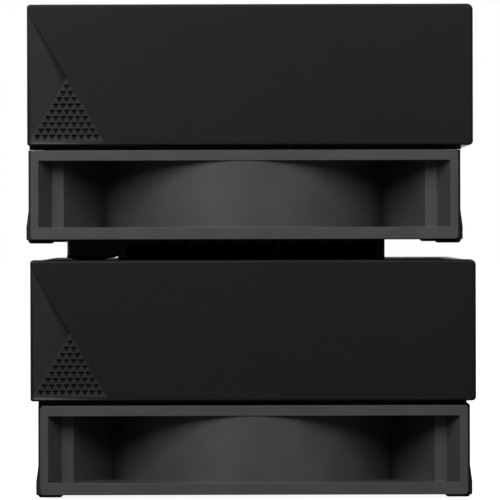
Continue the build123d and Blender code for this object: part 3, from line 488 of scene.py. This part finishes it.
def buildFascia(module):
    plan = fasciaPlan
    low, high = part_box(module + "_fascia")
    width = (high.x - low.x) / mm
    height = (high.z - low.z) / mm
    thick = (high.y - low.y) / mm
    bm = bmesh.new()

    def put(u, depth, v):
        return bm.verts.new((low.x + u * mm, low.y + depth * mm, low.z + v * mm))

    # rings of the rounded edge, from the flat front round to the sides, and on to the back
    steps = plan["edgeSteps"]
    chamfer = plan["backChamfer"]
    rings = []
    for i in range(steps + 1):
        turn = math.pi / 2 * i / steps
        depth = plan["edgeDepth"] * (1 - math.cos(turn))
        rings.append(fasciaRing(width, height, plan, math.sin(turn), depth))
    rings.append(fasciaRing(width, height, plan, 1.0, thick - chamfer))
    across = (width - 2 * chamfer) / width
    up = (height - 2 * chamfer) / height
    rings.append([(chamfer + u * across, thick, chamfer + v * up) for u, _, v in rings[-1]])

    margin, sill, side = plan["margin"], plan["sill"], plan["side"]
    crease = (plan["edgeRound"]["left"], height - plan["drop"])
    peak = (margin + side / 2, sill + plan["rise"])
    toe = (margin + side + plan["toePast"], plan["edgeRound"]["low"])
    # the left and lower edges of every ring carry points where the facets start
    perCorner = plan["cornerSteps"] + 1
    verts = []
    for ring in rings:
        lowLeft = ring[:perCorner]
        rest = ring[perCorner:]
        edgeX = lowLeft[0][0]
        lowZ = lowLeft[-1][2]
        depth = lowLeft[0][1]
        full = [(edgeX, depth, crease[1]), (edgeX, depth, sill), *lowLeft, (toe[0], depth, lowZ), *rest]
        verts.append([put(*point) for point in full])
    for inner, outer in zip(verts, verts[1:]):
        for i in range(len(inner)):
            j = (i + 1) % len(inner)
            bm.faces.new((inner[i], inner[j], outer[j], outer[i]))
    bm.faces.new(list(reversed(verts[-1])))

    # flat front, less the corner
    front = verts[0]
    creaseVert, sillVert = front[0], front[1]
    cornerVerts = front[2:2 + perCorner]
    toeVert = front[2 + perCorner]
    peakVert = put(peak[0], 0, peak[1])
    bm.faces.new([peakVert, toeVert, *front[3 + perCorner:], creaseVert])

    # sunk corner: a plain facet at the side, and the pitted facet rising to the front at its right
    point = plan["low"]
    sunk = put(peak[0] - point["left"], point["depth"], peak[1] - point["down"])
    lowCorner = (margin, plan["sillDepth"], sill)
    farCorner = (margin + side, plan["farDepth"], sill)
    topCorner = (peak[0], 0.0, peak[1])
    rows = plan["rows"]
    grid = {}
    for row in range(rows + 1):
        for column in range(row + 1):
            down = row / rows
            across = column / rows
            spot = [
                top + (near - top) * (down - across) + (far - top) * across
                for top, near, far in zip(topCorner, lowCorner, farCorner)
            ]
            grid[row, column] = put(*spot) if row else peakVert
    leftEdge = [grid[row, 0] for row in range(rows + 1)]
    rightEdge = [grid[row, row] for row in range(rows + 1)]
    baseEdge = [grid[rows, column] for column in range(rows + 1)]
    plainFacet = [
        bm.faces.new((creaseVert, sunk, leftEdge[-1])),
        bm.faces.new((creaseVert, leftEdge[-1], sillVert)),
    ]
    bm.faces.new((creaseVert, peakVert, sunk))
    bm.faces.new([sunk, *leftEdge])
    bm.faces.new([toeVert, *reversed(rightEdge)])
    # sill under the lattice: a plain band, and a strip that falls forward to the lower edge, painted
    # lighter as a painted highlight
    strip = plan["strip"]
    stripDepth = plan["sillDepth"] * strip["share"]
    stripVert = put(margin + strip["inset"], stripDepth, sill - strip["height"] / 2)
    bm.faces.new([sillVert, *cornerVerts, stripVert, leftEdge[-1]])
    sillFaces = [bm.faces.new([cornerVerts[-1], toeVert, stripVert])]
    bm.faces.new([stripVert, toeVert, *reversed(baseEdge)])

    # lattice of flat triangles with a pit in every one that points down
    pit = plan["pit"]
    facetFaces = []
    pitFaces = []

    def shrink(corners, share, depth):
        middle = sum((c.co for c in corners), Vector()) / 3
        made = []
        for c in corners:
            spot = middle + (c.co - middle) * share
            spot.y += depth * mm
            made.append(bm.verts.new(spot))
        return made

    def skirt(outer, inner, faces):
        for i in range(3):
            j = (i + 1) % 3
            faces.append(bm.faces.new((outer[i], outer[j], inner[j], inner[i])))

    for row in range(rows):
        for column in range(row + 1):
            corners = (grid[row, column], grid[row + 1, column], grid[row + 1, column + 1])
            facetFaces.append(bm.faces.new(corners))
        for column in range(row):
            corners = [grid[row, column], grid[row + 1, column + 1], grid[row, column + 1]]
            rim = shrink(corners, pit["rim"], 0.0)
            floor = shrink(corners, pit["floor"], pit["depth"])
            skirt(corners, rim, facetFaces)
            skirt(rim, floor, pitFaces)
            pitFaces.append(bm.faces.new(floor))
    # the facet, lattice and sill get lighter copies of the fascia's black as painted light, and the pits
    # get a darker copy as painted shade
    painted = {"facet_painted_lit": plainFacet, "lattice_painted_lit": facetFaces, "pit_painted_shade": pitFaces}
    painted["sill_painted_highlight"] = sillFaces
    for index, faces in enumerate(painted.values(), start=1):
        for face in faces:
            face.material_index = index
    fascia = newPiece(
        module + "Fascia", bm, "fascia_black", module + "_drawer", "fascia_black", module + "_fascia",
    )
    for extra in painted:
        fascia.data.materials.append(looks[extra])
    lip = plan["lip"]
    start, end = [low.x + reach * mm for reach in lip["spans"][module]]
    lipLow = low.z - lip["drop"] * mm
    lipTop = low.z + lip["rise"] * mm
    lipOutline = [(start, lipLow), (end, lipLow), (end, lipTop), (start, lipTop)]
    carve(fascia, lipOutline, "y", high.y - lip["thick"] * mm, high.y - lip["behind"] * mm, "UNION")
    pocket = plan["pocket"]
    pocketLow = low.z + (height / 2 + pocket["rise"]) * mm
    pocketTop = low.z + (height / 2 + pocket["rise"] + pocket["height"]) * mm
    inset = pocket["side"] * mm
    pocketOutline = roundedRect(low.x + inset, pocketLow, high.x - inset, pocketTop, pocket["corner"] * mm)
    carve(fascia, pocketOutline, "y", high.y - pocket["depth"] * mm, high.y + pocket["past"] * mm)
    smoothByAngle(fascia, plan["flatAngle"])
    weights = fascia.modifiers.new("keepFlats", "WEIGHTED_NORMAL")
    weights.keep_sharp = True
    return fascia


for module in modules:
    buildFascia(module)
print("drawer fronts made")


# grey scoops

scoopPlan = dict(
    flange=3.4,  # thickness of the frame
    corner=1.0,
    low=3.2,  # frame under the opening
    high=2.8,  # frame over it
    wall=1.6,
    openingHalf=55.5,
    stepHalf=52.0,
    stepDepth=7.0,
    ledgeHalf=48.9,
    ledgeDepth=7.4,
    valleyHalf=38.0,
    bulge=40.5,
    setback=0.25,  # of the bulge, behind the frame's front
    arcSteps=72,
    past=1.0,  # how far the cut runs out in front
    wallStart=0.4,  # how far back the walls start
    wallShare=dict(outer=0.9, step=0.6, valley=0.7),  # of the wall, added where the walls turn
    soft=dict(width=0.42, segments=3, angle=40),
)


def recessOutline(plan, middle, front, wall=0.0):
    # plan of the recess, or of the outside of its walls
    half = plan["openingHalf"]
    share = plan["wallShare"]
    centre = plan["setback"] + plan["bulge"]
    reach = math.degrees(math.acos(plan["valleyHalf"] / plan["bulge"]))
    valleyDepth = centre - math.sqrt(plan["bulge"] ** 2 - plan["valleyHalf"] ** 2)
    radius = plan["bulge"] - wall
    arc = [(x, centre - z) for x, z in arcPoints((0, 0), radius, reach, 180 - reach, plan["arcSteps"])]
    side = [
        (half + wall * share["outer"], plan["wallStart"] if wall else -plan["past"]),
        (half + wall * share["outer"], wall / 2),
        (plan["stepHalf"] + wall * share["outer"], plan["stepDepth"] + wall * share["step"]),
        (plan["ledgeHalf"] + wall * share["step"], plan["ledgeDepth"] + wall),
        (plan["valleyHalf"] + wall * share["valley"], valleyDepth + wall),
    ]
    if wall == 0:
        side.pop()
    left = [(-x, d) for x, d in reversed(side)]
    return [(middle + x * mm, front + d * mm) for x, d in side + arc + left]


def buildScoop(module):
    plan = scoopPlan
    low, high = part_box(module + "_scoop")
    middle = (low.x + high.x) / 2
    bm = bmesh.new()
    frameOutline = roundedRect(low.x, low.z, high.x, high.z, plan["corner"] * mm)
    addPrism(bm, frameOutline, "y", low.y, low.y + plan["flange"] * mm)
    scoop = newPiece(
        module + "Scoop", bm, "scoop_grey", module + "_module", "scoop_grey", module + "_scoop",
    )
    floor = low.z + plan["low"] * mm
    ceiling = high.z - plan["high"] * mm
    duct = recessOutline(plan, middle, low.y, plan["wall"])
    carve(scoop, duct, "z", floor - plan["wall"] * mm, high.z - 0.01 * mm, "UNION")
    carve(scoop, recessOutline(plan, middle, low.y), "z", floor, ceiling)
    softEdges(scoop, plan["soft"]["width"], plan["soft"]["segments"], plan["soft"]["angle"])
    return scoop


for module in modules:
    buildScoop(module)
print("scoops made")


# carried-over parts take their finishes

slotOf = {row["node"]: row["material_slot"] for row in frame["record"]["subparts"]}
for name, node in frame["nodes"].items():
    node.data.materials.clear()
    node.data.materials.append(looks[slotOf[name]])
print("finishes given to", len(slotOf), "parts")


# studio

# each lamp: degrees to the right of the front, degrees up, metres away, size, watts
studio = dict(
    lamps=dict(
        keyLeft=(-25, 28, 0.70, (0.36, 0.36), 2.2),
        keyRight=(30, 28, 0.70, (0.36, 0.36), 1.0),
    ),
    skyBack=1.0,  # white surroundings behind and above the object
    skyFront=0.078,
    skyToward=(0, 0.90, 0.43),  # direction of the brightest part
    skySpread=0.75,
    floorGlow=0.93,
    floorTint=0.60,
    floorRough=0.9,
    floorRadius=9.0,
    floorDrop=0.0002,  # below the feet
    backdropRadius=9.5,
)


def emitMaterial(name, strength):
    material = bpy.data.materials.new(name)
    material.use_nodes = True
    nodes = material.node_tree.nodes
    nodes.clear()
    output = nodes.new("ShaderNodeOutputMaterial")
    glow = nodes.new("ShaderNodeEmission")
    glow.inputs["Color"].default_value = (1, 1, 1, 1)
    glow.inputs["Strength"].default_value = strength
    material.node_tree.links.new(glow.outputs["Emission"], output.inputs["Surface"])
    return material


def floorMaterial():
    # pale matt table that glows a little, so that shadows stay soft and light
    material, shader = newMaterial("paleFloor")
    shader.inputs["Base Color"].default_value = (*[studio["floorTint"]] * 3, 1)
    shader.inputs["Roughness"].default_value = studio["floorRough"]
    shader.inputs["Emission Color"].default_value = (1, 1, 1, 1)
    shader.inputs["Emission Strength"].default_value = studio["floorGlow"]
    return material


def onlySeen(piece):
    # seen by the camera, but throws no light on the object
    piece.visible_diffuse = False
    piece.visible_glossy = False
    piece.visible_transmission = False
    piece.visible_shadow = False


def buildStage():
    bm = bmesh.new()
    bmesh.ops.create_circle(bm, cap_ends=True, segments=96, radius=studio["floorRadius"])
    mesh = bpy.data.meshes.new("floor")
    bm.to_mesh(mesh)
    bm.free()
    mesh.materials.append(floorMaterial())
    floor = bpy.data.objects.new("floor", mesh)
    bpy.context.scene.collection.objects.link(floor)
    floor.location.z = cadLow.z - studio["floorDrop"]
    onlySeen(floor)
    bm = bmesh.new()
    bmesh.ops.create_icosphere(bm, subdivisions=4, radius=studio["backdropRadius"])
    mesh = bpy.data.meshes.new("backdrop")
    bm.to_mesh(mesh)
    bm.free()
    mesh.materials.append(emitMaterial("whiteBackdrop", 1.0))
    backdrop = bpy.data.objects.new("backdrop", mesh)
    bpy.context.scene.collection.objects.link(backdrop)
    onlySeen(backdrop)


def addLamp(name, turn, rise, distance, size, power):
    lamp = bpy.data.lights.new(name, "AREA")
    lamp.shape = "RECTANGLE"
    lamp.size, lamp.size_y = size
    lamp.energy = power
    holder = bpy.data.objects.new(name, lamp)
    bpy.context.scene.collection.objects.link(holder)
    a = math.radians(turn)
    e = math.radians(rise)
    away = Vector((math.sin(a) * math.cos(e), -math.cos(a) * math.cos(e), math.sin(e)))
    middle = (cadLow + cadHigh) / 2
    holder.location = middle + away * distance
    holder.rotation_mode = "QUATERNION"
    holder.rotation_quaternion = away.to_track_quat("Z", "Y")
    holder.visible_camera = False
    return holder


def buildLights():
    for name, lamp in studio["lamps"].items():
        addLamp(name, *lamp)
    world = bpy.data.worlds.new("studio")
    world.use_nodes = True
    nodes = world.node_tree.nodes
    link = world.node_tree.links.new
    sky = nodes["Background"]
    sky.inputs["Color"].default_value = (1, 1, 1, 1)
    direction = nodes.new("ShaderNodeTexCoord")
    toward = nodes.new("ShaderNodeVectorMath")
    toward.operation = "DOT_PRODUCT"
    toward.inputs[1].default_value = studio["skyToward"]
    spread = nodes.new("ShaderNodeMapRange")
    spread.interpolation_type = "SMOOTHSTEP"
    spread.inputs["From Min"].default_value = 0.0
    spread.inputs["From Max"].default_value = studio["skySpread"]
    spread.inputs["To Min"].default_value = studio["skyFront"]
    spread.inputs["To Max"].default_value = studio["skyBack"]
    link(direction.outputs["Generated"], toward.inputs[0])
    link(toward.outputs["Value"], spread.inputs["Value"])
    link(spread.outputs["Result"], sky.inputs["Strength"])
    bpy.context.scene.world = world


cameraPlan = dict(
    distance=1.60,  # from the drawer fronts
    side=0.0,
    height=0.0735,
    sensor=36,
    reach=50,
    aim=(-0.00024, 0.06697),  # the point of the fronts at the middle of the picture
    across=0.13450,  # width of the picture at the fronts
    roll=0.14,
)


def buildCamera():
    plan = cameraPlan
    lens = bpy.data.cameras.new("camera")
    lens.sensor_width = plan["sensor"]
    lens.lens = plan["sensor"] * plan["distance"] / plan["across"]
    lens.clip_end = plan["reach"]
    camera = bpy.data.objects.new("camera", lens)
    bpy.context.scene.collection.objects.link(camera)
    camera.location = (plan["side"], cadLow.y - plan["distance"], plan["height"])
    target = Vector((plan["aim"][0], cadLow.y, plan["aim"][1]))
    toward = target - camera.location
    camera.rotation_mode = "QUATERNION"
    look = toward.to_track_quat("-Z", "Y")
    tilt = Quaternion((0, 0, 1), -math.radians(plan["roll"]))
    camera.rotation_quaternion = look @ tilt
    bpy.context.scene.camera = camera


buildStage()
buildLights()
buildCamera()
bpy.context.scene.view_settings.view_transform = "Standard"
print("studio ready")
